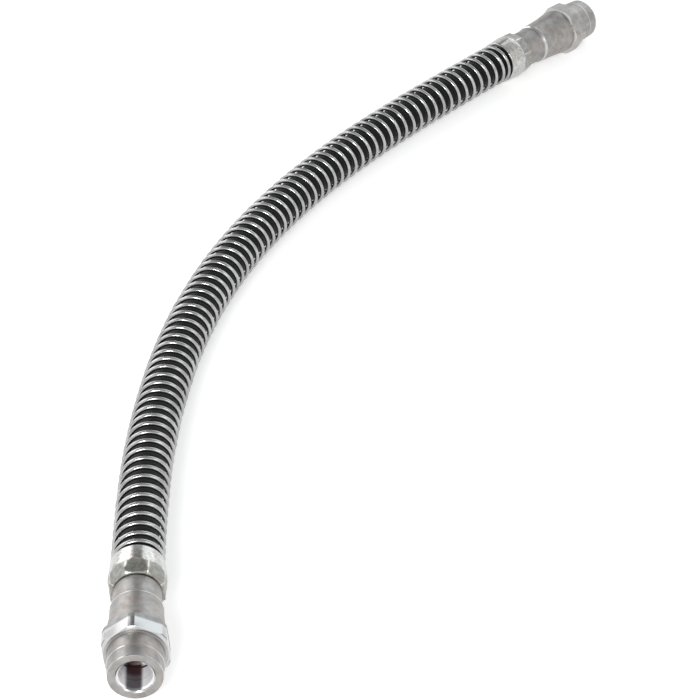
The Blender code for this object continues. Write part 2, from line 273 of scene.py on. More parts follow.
def spread(tree, value, old, new, soft=False):
    """Map a value from one range to another; each range is a pair, and soft rounds its ends."""
    node = tree.nodes.new("ShaderNodeMapRange")
    if soft:
        node.interpolation_type = "SMOOTHSTEP"
    tree.links.new(value, node.inputs["Value"])
    for label, number in zip(("From Min", "From Max", "To Min", "To Max"), (*old, *new)):
        node.inputs[label].default_value = number
    return node.outputs["Result"]


print("tools for values and colours ready")

# %% [markdown]
# A texture needs to know where on the piece it is. We give it the object's own coordinates, in metres,
# so that a grain has its real size and stays put when the piece moves. Two more helpers make a noise
# and turn a height into small bumps.

# %% Tools for places, noise and bumps
NOISE_ROUGHNESS = 0.55


def stretched_place(tree, scale=(1, 1, 1), coordinate="Object", turn=(0, 0, 0)):
    """Coordinates of the object, scaled by three numbers and turned."""
    coordinates = tree.nodes.new("ShaderNodeTexCoord")
    mapping = tree.nodes.new("ShaderNodeMapping")
    mapping.inputs["Scale"].default_value = scale
    mapping.inputs["Rotation"].default_value = turn
    tree.links.new(coordinates.outputs[coordinate], mapping.inputs["Vector"])
    return mapping.outputs["Vector"]


def axes(tree, coordinate="Object"):
    """The three coordinates as separate sockets."""
    node = tree.nodes.new("ShaderNodeSeparateXYZ")
    tree.links.new(stretched_place(tree, coordinate=coordinate), node.inputs[0])
    return node.outputs


def noise(tree, place, scale, detail):
    """Noise whose scale is a socket."""
    node = tree.nodes.new("ShaderNodeTexNoise")
    node.inputs["Detail"].default_value = detail
    node.inputs["Roughness"].default_value = NOISE_ROUGHNESS
    tree.links.new(scale, node.inputs["Scale"])
    tree.links.new(place, node.inputs["Vector"])
    return node.outputs["Fac"]


def bump(tree, height, strength, distance, normal=None):
    """A Bump node on a height."""
    node = tree.nodes.new("ShaderNodeBump")
    node.inputs["Strength"].default_value = strength
    node.inputs["Distance"].default_value = distance
    tree.links.new(height, node.inputs["Height"])
    if normal is not None:
        tree.links.new(normal, node.inputs["Normal"])
    return node.outputs["Normal"]


print("tools for places, noise and bumps ready")

# %% [markdown]
# Shared effects are shader node groups with named inputs and outputs, built once and used in each
# material with its own values. The first is grain. Metal, rubber and dust all vary at several sizes at
# once, so it holds three noises, and a material takes the one it needs to tint a colour, change the
# roughness or raise a bump.

# %% Node group for grain
def new_group(name, inputs, outputs):
    """An empty shader node group with number sockets; inputs are names with their first values."""
    group = bpy.data.node_groups.new(name, "ShaderNodeTree")
    for label, value in inputs.items():
        socket = group.interface.new_socket(label, in_out="INPUT", socket_type="NodeSocketFloat")
        socket.default_value = value
    for label in outputs:
        group.interface.new_socket(label, in_out="OUTPUT", socket_type="NodeSocketFloat")
    start = group.nodes.new("NodeGroupInput").outputs
    end = group.nodes.new("NodeGroupOutput").inputs
    print("group:", group.name)
    return group, start, end


grain_group, grain_in, grain_out = new_group(
    "Surface grain",
    {"Fine Scale": 9000.0, "Coarse Scale": 500.0, "Wide Scale": 150.0},
    ["Fine", "Coarse", "Wide", "Both"],
)
grain_place = stretched_place(grain_group)
fine_grain = noise(grain_group, grain_place, grain_in["Fine Scale"], 4.0)
coarse_grain = noise(grain_group, grain_place, grain_in["Coarse Scale"], 3.0)
wide_grain = noise(grain_group, grain_place, grain_in["Wide Scale"], 2.0)
both_grains = math_node(grain_group, "MULTIPLY", fine_grain, coarse_grain)
grain_group.links.new(fine_grain, grain_out["Fine"])
grain_group.links.new(coarse_grain, grain_out["Coarse"])
grain_group.links.new(wide_grain, grain_out["Wide"])
grain_group.links.new(both_grains, grain_out["Both"])

# %% [markdown]
# Turned steel carries faint rings from the tool's point. The fittings are made round their own Z axis,
# so a noise that changes fast along Z and hardly at all across it draws those rings.

# %% Node group for tool marks
ACROSS_STRETCH = 0.02

turning_group, turning_in, turning_out = new_group("Tool marks", {"Rings Per Metre": 5000.0}, ["Height"])
turning_place = stretched_place(turning_group, (ACROSS_STRETCH, ACROSS_STRETCH, 1.0))
turning_noise = noise(turning_group, turning_place, turning_in["Rings Per Metre"], 2.0)
turning_group.links.new(turning_noise, turning_out["Height"])

# %% [markdown]
# The port is bored and polished by its tool, so light runs along its wall in two bright bands with a
# dark one between them. Tracing those reflections down a narrow hole is noisy and needs much light, so
# we draw them. The fittings are made round their own Z axis with X upward: the distance from that axis
# tells the bore from the outside, and the distance to the side tells the bands apart.

# %% Node group for the painted reflections in the bore
BORE_EDGE = 0.0049
BAND_SHIFT = 0.0006
BAND_EDGES = (0.0016, 0.0026)

bore_group, bore_in, bore_out = new_group("Painted bore reflections", {"Edge": BORE_EDGE}, ["Inside", "Band"])
bore_x, bore_y, _ = axes(bore_group)
squares = math_node(bore_group, "ADD", math_node(bore_group, "MULTIPLY", bore_x, bore_x),
                    math_node(bore_group, "MULTIPLY", bore_y, bore_y))
from_axis = math_node(bore_group, "SQRT", squares)
inside_bore = math_node(bore_group, "LESS_THAN", from_axis, bore_in["Edge"])
aside = math_node(bore_group, "ABSOLUTE", math_node(bore_group, "SUBTRACT", bore_y, BAND_SHIFT))
bore_group.links.new(inside_bore, bore_out["Inside"])
bore_group.links.new(spread(bore_group, aside, BAND_EDGES, WHOLE, soft=True), bore_out["Band"])

# %% [markdown]
# Some light and shade on plated steel is painted here in narrow bands. The rounded edges of the turned steps
# are lighter all round, which is wear and also a painted highlight of the rims. The near hexagon's flats
# carry a painted highlight band, and deep in the port and just before its seat the wall carries painted
# shade. All of these lie at a set height along the fitting's own Z axis, so one group serves them: a mask
# that is 1 within a reach of that height and fades to 0 beyond it.

# %% Node group for bands of wear and painted light
FADE_START, FADE_END = 0.8, 1.2

# One mask for bands of wear, painted highlight and painted shade.
wear_and_painted_light_group, wear_and_painted_light_in, wear_and_painted_light_out = new_group("Worn band", {"Middle": 0.0, "Reach": 0.002}, ["Worn"])
_, _, band_z = axes(wear_and_painted_light_group)
from_middle = math_node(wear_and_painted_light_group, "ABSOLUTE", math_node(wear_and_painted_light_group, "SUBTRACT", band_z, wear_and_painted_light_in["Middle"]))
band_share = math_node(wear_and_painted_light_group, "DIVIDE", from_middle, wear_and_painted_light_in["Reach"])
band_mask = spread(wear_and_painted_light_group, band_share, (FADE_START, FADE_END), (1.0, 0.0), soft=True)
wear_and_painted_light_group.links.new(band_mask, wear_and_painted_light_out["Worn"])

# %% [markdown]
# Both fittings have the same steps in the same order, and only the neck and the flared shoulder differ
# in length. So the steps are lengths that add up to heights. A height is measured outward from the end
# of the hose, where the fitting's collar stands. The finishes need these heights for their bands of
# wear, painted highlight and painted shade, and later the outlines of the pieces are drawn with them.

# %% Sizes of the end fittings
TOUCH_GAP = 0.0003
FERRULE_FRONT_WALL = 0.0016
COLLAR_ROOM = 0.0018
FERRULE_FRONT = COLLAR_ROOM + FERRULE_FRONT_WALL
NEAR_NECK_LENGTH = 0.0064
FAR_NECK_LENGTH = 0.0081
SHOULDER_STEP = 0.0008
SHOULDER_RIM = 0.0008
NEAR_FLARE_LENGTH = 0.0089
FAR_FLARE_LENGTH = 0.0129
SHOULDER_LAND = 0.0018
HEX_LENGTH = 0.0063
NOSE_LENGTH = 0.0089
NOSE_LEAD = 0.0040
PORT_DEPTH = 0.0100


def step_heights(neck_length, flare_length):
    """Height of each step of a fitting above the end of the hose."""
    at = {"neck": FERRULE_FRONT + TOUCH_GAP}
    at["shoulder"] = at["neck"] + neck_length
    at["flare"] = at["shoulder"] + SHOULDER_STEP + SHOULDER_RIM
    at["flare end"] = at["flare"] + flare_length
    at["hexagon"] = at["flare end"] + SHOULDER_LAND
    at["nose"] = at["hexagon"] + HEX_LENGTH
    at["face"] = at["nose"] + NOSE_LENGTH
    at["seat"] = at["face"] - PORT_DEPTH
    return at


near_at = step_heights(NEAR_NECK_LENGTH, NEAR_FLARE_LENGTH)
far_at = step_heights(FAR_NECK_LENGTH, FAR_FLARE_LENGTH)
print("heights of the faces: %.1f and %.1f mm" % (near_at["face"] * 1000, far_at["face"] * 1000))

# %% [markdown]
# Plated steel is grey rather than mirror-bright: the zinc is a thin satin coat with clouds in it and a
# faint warm tint here and there. A plain grey metal would look cast in one piece. So the shader is a
# metal with a medium roughness, and the groups feed its colour, its roughness and its bump.

# %% Plated steel
CLOUD_EDGES = (0.35, 0.65)
GRAIN_EDGES = (0.3, 0.7)
TINT_EDGES = (0.45, 0.70)
TINT_STRENGTH = 0.8
WARM_TINT = (1.0, 0.90, 0.86, 1.0)
PLATE_GRAIN = 7000.0
PLATE_CLOUDS = 420.0
PLATE_TINTS = 170.0
RINGS_PER_METRE = 4200.0
WORN_POLISH = 0.24
GLOSS_SPREAD = (-0.04, 0.05)
RING_STRENGTH = 0.2
GRAIN_STRENGTH = 0.25
FINE_DEPTH = 0.00002


def new_material(name):
    """A material with its node tree and shader."""
    material = bpy.data.materials.new(name)
    material.use_nodes = True
    return material, material.node_tree, material.node_tree.nodes["Principled BSDF"]


def add_group(tree, group, **values):
    """Place a node group in a material and set its inputs by name, with _ for each space."""
    node = tree.nodes.new("ShaderNodeGroup")
    node.node_tree = group
    for label, value in values.items():
        node.inputs[label.replace("_", " ")].default_value = value
    return node.outputs


def plated_steel(name, light, dark, roughness, clouds=PLATE_CLOUDS, seat=None, wear_and_painted_highlights=(), shine=None):
    """Satin zinc plating; wear_and_painted_highlights is a list of (height, reach) of lighter bands, and
    seat is the height of a port's seat.
    """
    material, tree, shader = new_material(name)
    grain = add_group(tree, grain_group, Fine_Scale=PLATE_GRAIN, Coarse_Scale=clouds, Wide_Scale=PLATE_TINTS)
    rings = add_group(tree, turning_group, Rings_Per_Metre=RINGS_PER_METRE)
    colour = mix_colours(tree, spread(tree, grain["Coarse"], CLOUD_EDGES, WHOLE), dark, light)
    tint = spread(tree, grain["Wide"], TINT_EDGES, (0.0, TINT_STRENGTH))
    colour = mix_colours(tree, tint, colour, WARM_TINT, "MULTIPLY")
    rough = spread(tree, grain["Fine"], GRAIN_EDGES, [roughness + step for step in GLOSS_SPREAD])
    # Lighter bands in colour grey(shine): wear on the edges, and painted highlights on the rims and the near
    # flats.
    for height, reach in wear_and_painted_highlights:
        mask = add_group(tree, wear_and_painted_light_group, Middle=height, Reach=reach)["Worn"]
        colour = mix_colours(tree, mask, colour, grey(shine))
        rough = math_node(tree, "SUBTRACT", rough, spread(tree, mask, WHOLE, (0.0, WORN_POLISH)))
    if seat:
        colour = bored_colour(tree, shader, colour, seat)
    else:
        shader.inputs["Metallic"].default_value = 1.0
    tree.links.new(colour, shader.inputs["Base Color"])
    tree.links.new(rough, shader.inputs["Roughness"])
    normal = bump(tree, rings["Height"], RING_STRENGTH, FINE_DEPTH)
    tree.links.new(bump(tree, grain["Fine"], GRAIN_STRENGTH, FINE_DEPTH, normal), shader.inputs["Normal"])
    return material


print("plated steel ready")

# %% [markdown]
# The wall of the port is drawn by the bore group as painted reflections: bright at both sides and dark in
# the middle, with a deeper reddish painted shade towards the seat. A thin painted line of shade lies just
# before the seat. Inside, the finish is hardly metallic, because its reflections are already in its
# colour.

# %% The wall of the port
# Painted reflections on the bore's wall: bright bands and a dark one between them.
WALL_BRIGHT = (0.97, 0.97, 0.98, 1.0)
WALL_DARK = (0.11, 0.10, 0.11, 1.0)
# Painted shade deep in the port, and a painted line of shade just before the seat.
WALL_DEEP_SHADE = (0.055, 0.022, 0.026, 1.0)
SEAT_SHADE_LINE = (0.06, 0.035, 0.035, 1.0)
DEEP_REACH = 0.0040
LINE_AHEAD = 0.0012
LINE_REACH = 0.0004
WALL_METALLIC = 0.15


def bored_colour(tree, shader, outside_colour, seat):
    """Colour of a bored fitting inside and out; it sets the shader's Metallic too."""
    bore = add_group(tree, bore_group, Edge=BORE_EDGE)
    # Painted shade towards the seat, and a painted line of shade just before it.
    deep = add_group(tree, wear_and_painted_light_group, Middle=seat, Reach=DEEP_REACH)
    seat_line = add_group(tree, wear_and_painted_light_group, Middle=seat + LINE_AHEAD, Reach=LINE_REACH)
    shade = mix_colours(tree, deep["Worn"], WALL_DARK, WALL_DEEP_SHADE)
    wall = mix_colours(tree, bore["Band"], shade, WALL_BRIGHT)
    wall = mix_colours(tree, seat_line["Worn"], wall, SEAT_SHADE_LINE)
    tree.links.new(spread(tree, bore["Inside"], WHOLE, (1.0, WALL_METALLIC)), shader.inputs["Metallic"])
    return mix_colours(tree, bore["Inside"], outside_colour, wall)


print("port wall ready")

# %% [markdown]
# The same plating comes out differently on each surface. The turned bodies are satin, with lighter
# bands on their rounded edges, which are wear and painted highlights of the rims at once. The near
# hexagon's flats carry a painted highlight band. The ferrule's sleeve is brighter and more granular,
# and the zone that the press squeezed is duller and a little green. Each band is written as a pair:
# its height on the fitting, and how far it reaches on either side.

# %% Finishes of the fittings and ferrules
SATIN_LIGHT = (0.37, 0.36, 0.35, 1.0)
SATIN_DARK = (0.28, 0.272, 0.262, 1.0)
SATIN_ROUGHNESS = 0.42
FLAT_HIGHLIGHT_REACH = 0.0022
EDGE_INSET = 0.0002
FACE_INSET = 0.0003

# Lighter rounded edges: wear, and painted highlights of the rims.
near_edges = (
    (near_at["shoulder"] + SHOULDER_STEP, 0.0004),
    (near_at["nose"] - EDGE_INSET, 0.0002),
    (near_at["face"] - NOSE_LEAD - EDGE_INSET / 2, 0.0002),
    (near_at["face"] - FACE_INSET, 0.00018),
)
far_edges = (
    (far_at["shoulder"] + SHOULDER_STEP, 0.0005),
    (far_at["hexagon"] + EDGE_INSET, 0.0003),
    (far_at["nose"] - EDGE_INSET, 0.0002),
    (far_at["face"] - NOSE_LEAD - EDGE_INSET / 2, 0.0002),
    (far_at["face"] - FACE_INSET, 0.00018),
)
# A painted highlight band across the near hexagon's flats.
near_flat_highlight = ((near_at["nose"] - FLAT_HIGHLIGHT_REACH, FLAT_HIGHLIGHT_REACH),)
near_zinc = plated_steel("near_satin_zinc", SATIN_LIGHT, SATIN_DARK, SATIN_ROUGHNESS,
                         seat=near_at["seat"], wear_and_painted_highlights=near_edges, shine=0.50)
far_zinc = plated_steel("far_satin_zinc", SATIN_LIGHT, SATIN_DARK, SATIN_ROUGHNESS,
                        seat=far_at["seat"], wear_and_painted_highlights=far_edges, shine=0.52)
near_flats_zinc = plated_steel("near_flats_zinc", light=(0.31, 0.315, 0.315, 1.0), dark=grey(0.24),
                               roughness=SATIN_ROUGHNESS, wear_and_painted_highlights=near_flat_highlight, shine=0.45)
far_flats_zinc = plated_steel("far_flats_zinc", light=(0.42, 0.42, 0.41, 1.0),
                              dark=(0.32, 0.32, 0.31, 1.0), roughness=0.30)
sleeve_zinc = plated_steel("sleeve_zinc", light=(0.58, 0.58, 0.56, 1.0),
                           dark=(0.40, 0.40, 0.385, 1.0), roughness=0.22, clouds=1100.0)
pressed_zinc = plated_steel("pressed_zinc", light=(0.38, 0.39, 0.365, 1.0),
                            dark=(0.24, 0.25, 0.235, 1.0), roughness=0.36, clouds=800.0)
print("finishes:", near_zinc.name, far_zinc.name, near_flats_zinc.name, far_flats_zinc.name,
      sleeve_zinc.name, pressed_zinc.name)

# %% [markdown]
# Spring wire is drawn through a die, which leaves it smoother and brighter than any turned face. Its
# thin zinc coat is slightly uneven, so the brightness drifts slowly along the wire.

# %% Finish of the wire
WIRE_DARK, WIRE_LIGHT = grey(0.36), grey(0.47)
WIRE_ROUGHNESS = (0.14, 0.22)
WIRE_BUMP = 0.00005


def drawn_wire(name):
    """Bright drawn wire with a thin, slightly uneven zinc coat."""
    material, tree, shader = new_material(name)
    shader.inputs["Metallic"].default_value = 1.0
    grain = add_group(tree, grain_group, Fine_Scale=2600.0, Coarse_Scale=160.0)
    colour = mix_colours(tree, spread(tree, grain["Coarse"], CLOUD_EDGES, WHOLE), WIRE_DARK, WIRE_LIGHT)
    tree.links.new(colour, shader.inputs["Base Color"])
    tree.links.new(spread(tree, grain["Fine"], GRAIN_EDGES, WIRE_ROUGHNESS), shader.inputs["Roughness"])
    tree.links.new(bump(tree, grain["Fine"], GRAIN_STRENGTH, WIRE_BUMP), shader.inputs["Normal"])
    return material


wire_steel = drawn_wire("bright_wire")
print("finish:", wire_steel.name)

# %% [markdown]
# The rubber is nearly black and matt. A very fine bump breaks up its sheen, and a little pale dust sits
# in patches, as on any hose that has been handled. The liner inside is the same rubber, smoother and
# clean.

# %% Finish of the rubber
RUBBER_BLACK = (0.006, 0.006, 0.0065, 1.0)
RUBBER_DUST = (0.035, 0.034, 0.033, 1.0)
DUST_EDGES = (0.2, 0.45)
DUST_ROUGHNESS = 0.9
RUBBER_SPECULAR = 0.25
RUBBER_BUMP = 0.0001


def black_rubber(name, roughness, dusty):
    """Matt black rubber with a fine skin and patches of dust."""
    material, tree, shader = new_material(name)
    grain = add_group(tree, grain_group, Fine_Scale=5000.0, Coarse_Scale=260.0)
    dust = spread(tree, grain["Both"], DUST_EDGES, (0.0, dusty))
    tree.links.new(mix_colours(tree, dust, RUBBER_BLACK, RUBBER_DUST), shader.inputs["Base Color"])
    tree.links.new(spread(tree, dust, WHOLE, (roughness, DUST_ROUGHNESS)), shader.inputs["Roughness"])
    shader.inputs["Specular IOR Level"].default_value = RUBBER_SPECULAR
    tree.links.new(bump(tree, grain["Fine"], 0.4, RUBBER_BUMP), shader.inputs["Normal"])
    return material


cover_rubber = black_rubber("cover_rubber", roughness=0.55, dusty=0.5)
liner_rubber = black_rubber("liner_rubber", roughness=0.4, dusty=0.0)
print("finishes:", cover_rubber.name, liner_rubber.name)

# %% [markdown]
# Between liner and cover lies the braid that takes the pressure: pale textile cords that cross each
# other. Two sets of waves at opposite slants stand for the two directions, and where one cord passes
# over the other the higher wave wins.

# %% Finish of the braid
CORD_SLANT = 0.9
CORDS_PER_METRE = 700.0
CORD_DARK = (0.40, 0.37, 0.30, 1.0)
CORD_LIGHT = (0.72, 0.69, 0.60, 1.0)
CORD_BUMP = 0.0003


def woven_cord(name):
    """Pale textile cords that cross each other."""
    material, tree, shader = new_material(name)
    waves = []
    for slant in (CORD_SLANT, -CORD_SLANT):
        wave = tree.nodes.new("ShaderNodeTexWave")
        wave.inputs["Scale"].default_value = CORDS_PER_METRE
        wave.inputs["Distortion"].default_value = 1.0
        tree.links.new(stretched_place(tree, turn=(0.0, slant, slant)), wave.inputs["Vector"])
        waves.append(wave.outputs["Fac"])
    weave = math_node(tree, "MAXIMUM", waves[0], waves[1])
    tree.links.new(mix_colours(tree, weave, CORD_DARK, CORD_LIGHT), shader.inputs["Base Color"])
    tree.links.new(spread(tree, weave, WHOLE, (0.95, 0.8)), shader.inputs["Roughness"])
    tree.links.new(bump(tree, weave, 0.8, CORD_BUMP), shader.inputs["Normal"])
    return material


braid_cord = woven_cord("braid_cord")
print("finish:", braid_cord.name)

# %% [markdown]
# The liner and the braid never show, so their plain solids stay as they are. They still get their own
# finish, for anyone who cuts the hose open.

# %% Dress the inner layers
for node_name, material in (("hose_liner", liner_rubber), ("hose_braid", braid_cord)):
    for material_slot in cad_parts[node_name].material_slots:
        material_slot.material = material
    print(node_name, "finished with", material.name)

# %% [markdown]
# It is a hollow tube, because that is what a hose is. It reaches into both ferrules up to the fittings'
# collars.

# %% The hose cover
HOSE_RADIUS = 0.0054
COVER_BORE_RADIUS = 0.0040
FERRULE_LENGTH = 0.0115
HOSE_START = FERRULE_FRONT - FERRULE_LENGTH
HOSE_END = FREE_LENGTH + FERRULE_LENGTH - FERRULE_FRONT
HOSE_SIDES = 48
HOSE_STEPS = 240

hose_runs = np.linspace(HOSE_START, HOSE_END, HOSE_STEPS + 1)
outside, inside = [], []
for run in hose_runs:
    centre, up, right = frame_at(run)
    outside.append(round_ring(centre, up, right, HOSE_RADIUS, HOSE_SIDES))
    inside.append(round_ring(centre, up, right, COVER_BORE_RADIUS, HOSE_SIDES))
hose = skin("rubber_hose", outside + inside[::-1], closed_path=True)
hose.data.set_sharp_from_angle(angle=radians(40))
hose.data.materials.append(cover_rubber)
report(hose)

# %% [markdown]
# The spring guard is the piece that everyone notices. It is one wire, wound right-handed. A screw
# modifier could wind it round a straight axis, but not along a bow, so its winding is a formula: the
# turn number gives the angle, and the distance along the route grows by one pitch a turn. The last
# turns at each end lie closer.

# %% The winding of the spring
WIRE_DIAMETER = 0.0014
SPRING_PITCH = 0.00443
END_PITCH = 0.0028
END_TURNS = 0.75
TURN_BLEND = 0.5
TURN_STEPS = 36


def end_share(turn, turns):
    """1 in the close end turns, 0 in the open ones."""
    from_near = (turn - END_TURNS) / TURN_BLEND
    from_far = (turns - END_TURNS - turn) / TURN_BLEND
    return 1 - smoothstep(np.minimum(from_near, from_far))


def wind_spring():
    """Turn and distance along the route for the wire's middle line, and the number of turns."""
    wound_length = FREE_LENGTH - 2 * TOUCH_GAP - WIRE_DIAMETER
    close_turns = 2 * END_TURNS + TURN_BLEND
    turns = round(close_turns + (wound_length - close_turns * END_PITCH) / SPRING_PITCH)
    step = 1 / TURN_STEPS
    middles = (np.arange(turns * TURN_STEPS) + 0.5) * step
    shares = end_share(middles, turns)
    close_part = shares.sum() * step
    open_pitch = (wound_length - close_part * END_PITCH) / (turns - close_part)
    steps = step * (shares * END_PITCH + (1 - shares) * open_pitch)
    runs = TOUCH_GAP + WIRE_DIAMETER / 2 + np.concatenate([[0.0], np.cumsum(steps)])
    return np.arange(turns * TURN_STEPS + 1) * step, runs, turns


spring_turns, spring_runs, turn_count = wind_spring()
print("turns:", turn_count)

# %% [markdown]
# No real coil is perfectly even. Random numbers would make the wire jump from point to point, so the
# pitch and the radius wander by a few hundredths of a millimetre in slow waves, which are the same
# every time. The unevenness fades out at the ends, where the ferrules hold the wire.

# %% The spring guard
SPRING_RADIUS = SPRING_OUTER_RADIUS - WIRE_DIAMETER / 2
WIRE_SIDES = 12
START_ANGLE = pi
PITCH_WANDER = 0.00010
RADIUS_WANDER = 0.00004
WANDER_FADE = 3
WAVES = ((0.5, 1.9, 0.4), (0.3, 0.53, 2.0), (0.2, 4.3, 1.1))
RADIUS_PACE, RADIUS_START = 1.7, 5.0


def wander(turn):
    """Slow, repeatable unevenness between -1 and 1; each wave is a share, a pace and a start."""
    return sum(share * np.sin(turn * pace + start) for share, pace, start in WAVES)


fade = smoothstep(np.minimum(spring_turns, turn_count - spring_turns) / WANDER_FADE)
spring_runs = spring_runs + PITCH_WANDER * wander(spring_turns) * fade
centres, radials = [], []
for turn, run in zip(spring_turns, spring_runs):
    centre, up, right = frame_at(run)
    angle = START_ANGLE + 2 * pi * turn
    radial = up * cos(angle) + right * sin(angle)
    radius = SPRING_RADIUS - RADIUS_WANDER * (1 + wander(turn * RADIUS_PACE + RADIUS_START))
    centres.append(centre + radial * radius)
    radials.append(radial)
wire_rings = []
for centre, way, radial in zip(centres, np.gradient(np.array(centres), axis=0), radials):
    across = np.cross(way, radial)
    across = across / np.linalg.norm(across)
    wire_rings.append(round_ring(centre, radial, across, WIRE_DIAMETER / 2, WIRE_SIDES))
spring = skin("wound_wire", wire_rings, capped=True)
spring.data.set_sharp_from_angle(angle=radians(60))
spring.data.materials.append(wire_steel)
report(spring)

# %% [markdown]
# A turned piece is an outline spun round its axis. On a real part no corner is quite sharp, and it is
# the small round on each corner that catches the light. So the outline is given as plain corners, each
# with its own round, and a helper replaces every corner with a short arc before it is spun.

# %% Tools for turned pieces
TURNED_SIDES = 96
ARC_STEPS = 4
ROUND_LIMIT = 0.45
NO_ROUND = 1e-6
EDGE_ROUND = 0.0001


def rounded_outline(corners):
    """Replace each (radius, z, round) corner of a closed outline with a short arc."""
    points = []
    count = len(corners)
    for index, (radius, z, size) in enumerate(corners):
        here = Vector((radius, z))
        to_before = Vector(corners[index - 1][:2]) - here
        to_after = Vector(corners[(index + 1) % count][:2]) - here
        size = min(size, to_before.length * ROUND_LIMIT, to_after.length * ROUND_LIMIT)
        if size < NO_ROUND:
            points.append((here.x, here.y))
            continue
        start = here + to_before.normalized() * size
        end = here + to_after.normalized() * size
        for step in range(ARC_STEPS + 1):
            t = step / ARC_STEPS
            point = start * (1 - t) ** 2 + here * 2 * t * (1 - t) + end * t**2
            points.append((point.x, point.y))
    return points


def spun(name, outline, shape=None):
    """Spin an outline round Z; shape may change the radius with the angle and the height."""
    rings = []
    for radius, z in outline:
        ring = []
        for index in range(TURNED_SIDES):
            angle = 2 * pi * index / TURNED_SIDES
            reach = radius if shape is None else shape(angle, radius, z)
            ring.append((reach * cos(angle), reach * sin(angle), z))
        rings.append(ring)
    return skin(name, rings, closed_path=True)


def end_place(point, outward):
    """Matrix that sets a turned piece with its port outward and its X axis up."""
    outward = Vector(outward)
    up = Vector((0, 0, 1))
    place = Matrix((up, outward.cross(up), outward)).transposed().to_4x4()
    place.translation = Vector(point)
    return place


near_place = end_place(on_line(HOSE_START), -near_way)
far_place = end_place(on_line(HOSE_END), far_way)
print("near fitting at", [round(value, 4) for value in near_place.translation])

# %% [markdown]
# The fitting is one turned piece: a hollow nipple that the hose is pushed over, a collar that the
# ferrule hooks behind, the neck, a step up to the flared shoulder, the hexagon, and a round nose with
# the port in it. Its outline goes from the nipple round the outside and back through the bore.

# %% The outline of a fitting
NIPPLE_LENGTH = 0.0095
NIPPLE_RADIUS = 0.0013
COLLAR_RADIUS = 0.0051
COLLAR_FRONT = 0.0015
ROOT_RADIUS = 0.0041
NECK_RADIUS = 0.0066
SHOULDER_SMALL_RADIUS = 0.00725
SHOULDER_LARGE_RADIUS = 0.0082
FLARE_POINTS = 13
HEX_CHAMFER_FLOOR = 0.0084
HEX_CHAMFER_ANGLE = radians(30)
NOSE_RADIUS = 0.0076
NOSE_EDGE_LENGTH = 0.0002
NOSE_EDGE_DROP = 0.0001
FACE_RADIUS = 0.0073
PORT_MOUTH_RADIUS = 0.00535
PORT_RADIUS = 0.00445
PORT_CHAMFER = 0.0009
SEAT_CONE_LENGTH = 0.0022
PASSAGE_RADIUS = 0.0008


def fitting_outline(at):
    """Corners of a fitting as (radius, height, round)."""
    chamfer = (HEX_TURNED_RADIUS - HEX_CHAMFER_FLOOR) * tan(HEX_CHAMFER_ANGLE)
    flare = []
    for share in np.linspace(0.0, 1.0, FLARE_POINTS):
        radius = SHOULDER_SMALL_RADIUS + (SHOULDER_LARGE_RADIUS - SHOULDER_SMALL_RADIUS) * share**2
        flare.append((radius, at["flare"] + (at["flare end"] - at["flare"]) * share, 0.0))
    return [
        (NIPPLE_RADIUS, -NIPPLE_LENGTH, 2 * EDGE_ROUND),
        (NIPPLE_RADIUS, TOUCH_GAP, 2 * EDGE_ROUND),
        (COLLAR_RADIUS, TOUCH_GAP, EDGE_ROUND),
        (COLLAR_RADIUS, COLLAR_FRONT, EDGE_ROUND),
        (ROOT_RADIUS, COLLAR_FRONT, EDGE_ROUND),
        (ROOT_RADIUS, at["neck"], EDGE_ROUND),
        (NECK_RADIUS, at["neck"], 2 * EDGE_ROUND),
        (NECK_RADIUS, at["shoulder"], 5 * EDGE_ROUND),
        (SHOULDER_SMALL_RADIUS, at["shoulder"] + SHOULDER_STEP, 4 * EDGE_ROUND),
        *flare,
        (SHOULDER_LARGE_RADIUS, at["hexagon"], EDGE_ROUND),
        (HEX_CHAMFER_FLOOR, at["hexagon"], EDGE_ROUND),
        (HEX_TURNED_RADIUS, at["hexagon"] + chamfer, EDGE_ROUND),
        (HEX_TURNED_RADIUS, at["nose"] - chamfer, EDGE_ROUND),
        (HEX_CHAMFER_FLOOR, at["nose"], EDGE_ROUND),
        (NOSE_RADIUS, at["nose"], 2 * EDGE_ROUND),
        (NOSE_RADIUS, at["face"] - NOSE_LEAD - NOSE_EDGE_LENGTH, EDGE_ROUND),
        (NOSE_RADIUS - NOSE_EDGE_DROP, at["face"] - NOSE_LEAD, EDGE_ROUND),
        (FACE_RADIUS, at["face"], 4 * EDGE_ROUND),
        (PORT_MOUTH_RADIUS, at["face"], EDGE_ROUND),
        (PORT_RADIUS, at["face"] - PORT_CHAMFER, EDGE_ROUND),
        (PORT_RADIUS, at["seat"], EDGE_ROUND),
        (PASSAGE_RADIUS, at["seat"] - SEAT_CONE_LENGTH, EDGE_ROUND),
        (PASSAGE_RADIUS, -NIPPLE_LENGTH, EDGE_ROUND),
    ]


print("corners of a fitting:", len(fitting_outline(near_at)))

# %% [markdown]
# The fitting is turned from hexagonal bar. We could model the hexagon face by face, but the curved
# edges between chamfer and flat, which every real nut has, would be hard to draw. So we do what the
# workshop does: spin the round outline, with the chamfers of the hexagon in it, and keep only what
# lies inside a hexagonal bar. A bar's own corners are a little soft from rolling.

# %% Tools for milling the hexagon
BAR_REACH = 0.08
BAR_EDGE_ROUND = 0.0002


